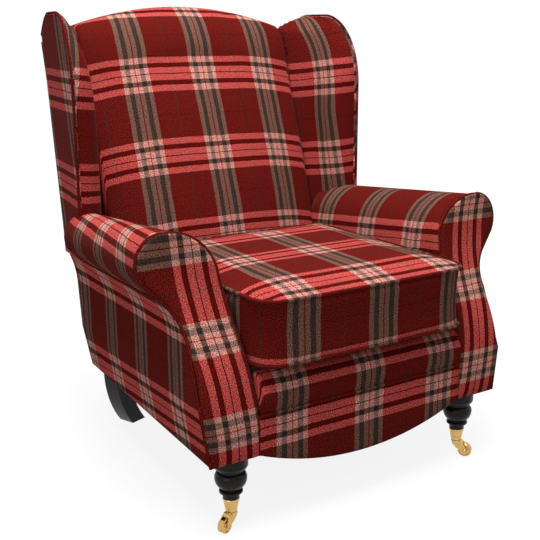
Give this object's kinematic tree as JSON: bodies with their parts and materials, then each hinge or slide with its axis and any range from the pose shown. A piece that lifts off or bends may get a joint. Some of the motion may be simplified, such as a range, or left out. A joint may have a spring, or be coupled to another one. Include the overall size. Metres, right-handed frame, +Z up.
{
  "type": "fireside chair",
  "caption": "Wing-back fireside chair with scroll arms, a loose box cushion, tartan upholstery, turned front legs on brass castors and sabre rear legs.",
  "frame": {"origin": "on the floor under the middle of the chair's bounding box", "axes": "+Z is up, the sitter faces -Y, and +X is to the right seen from the front; nodes named left_ are on the -X side"},
  "size_m": [0.9352, 0.8983, 1.0505],
  "materials": {
    "tartan": "brushed woven tartan, dark red ground with taupe, charcoal, pink and maroon bands",
    "lining": "plain black lining cloth",
    "webbing": "woven elastic strap",
    "frame_timber": "planed beech",
    "plywood": "sawn plywood",
    "black_lacquer": "gloss black lacquer",
    "brass": "polished, lightly tarnished",
    "steel": "zinc-plated"
  },
  "bodies": {
    "chair": {"back_webbing": "webbing", "corner_blocks": "frame_timber", "dust_cover": "lining", "front_apron": "tartan", "front_lip_roll": "tartan", "front_seat_rail": "frame_timber", "inside_back": "tartan", "left_arm_facing": "tartan", "left_arm_pad": "tartan", "left_arm_rail": "frame_timber", "left_arm_stump": "frame_timber", "left_back_post": "frame_timber", "left_castor_cup": "brass", "left_front_leg": "black_lacquer", "left_outside_arm": "tartan", "left_rear_leg": "black_lacquer", "left_seat_rail": "frame_timber", "left_wing_frame": "plywood", "left_wing_inside": "tartan", "left_wing_outside": "tartan", "leg_bolts": "steel", "lower_back_rail": "frame_timber", "outside_back": "tartan", "rear_seat_rail": "frame_timber", "right_arm_facing": "tartan", "right_arm_pad": "tartan", "right_arm_rail": "frame_timber", "right_arm_stump": "frame_timber", "right_back_post": "frame_timber", "right_castor_cup": "brass", "right_front_leg": "black_lacquer", "right_outside_arm": "tartan", "right_rear_leg": "black_lacquer", "right_seat_rail": "frame_timber", "right_wing_frame": "plywood", "right_wing_inside": "tartan", "right_wing_outside": "tartan", "seat_platform": "lining", "seat_webbing": "webbing", "top_back_rail": "frame_timber"},
    "seat_cushion": {"seat_cushion": "tartan"},
    "left_castor": {"left_castor_horn": "brass", "left_castor_axle": "brass"},
    "left_wheel": {"left_castor_wheel": "brass"},
    "right_castor": {"right_castor_horn": "brass", "right_castor_axle": "brass"},
    "right_wheel": {"right_castor_wheel": "brass"}
  },
  "joints": [
    {"name": "left_castor_swivel", "type": "hinge", "parent": "chair", "child": "left_castor", "pos_m": [-0.311, -0.383, 0.04], "axis": [0, 0, 1], "continuous": true},
    {"name": "left_wheel_roll", "type": "hinge", "parent": "left_castor", "child": "left_wheel", "pos_m": [-0.33147, -0.39106, 0.016], "axis": [-0.3665, 0.9304, 0], "continuous": true},
    {"name": "right_castor_swivel", "type": "hinge", "parent": "chair", "child": "right_castor", "pos_m": [0.311, -0.383, 0.04], "axis": [0, 0, 1], "continuous": true},
    {"name": "right_wheel_roll", "type": "hinge", "parent": "right_castor", "child": "right_wheel", "pos_m": [0.32418, -0.40062, 0.016], "axis": [-0.8007, -0.599, 0], "continuous": true},
    {"name": "cushion_lift", "type": "slide", "parent": "chair", "child": "seat_cushion", "axis": [0, 0, 1], "range_m": [0, 0.25]}
  ]
}
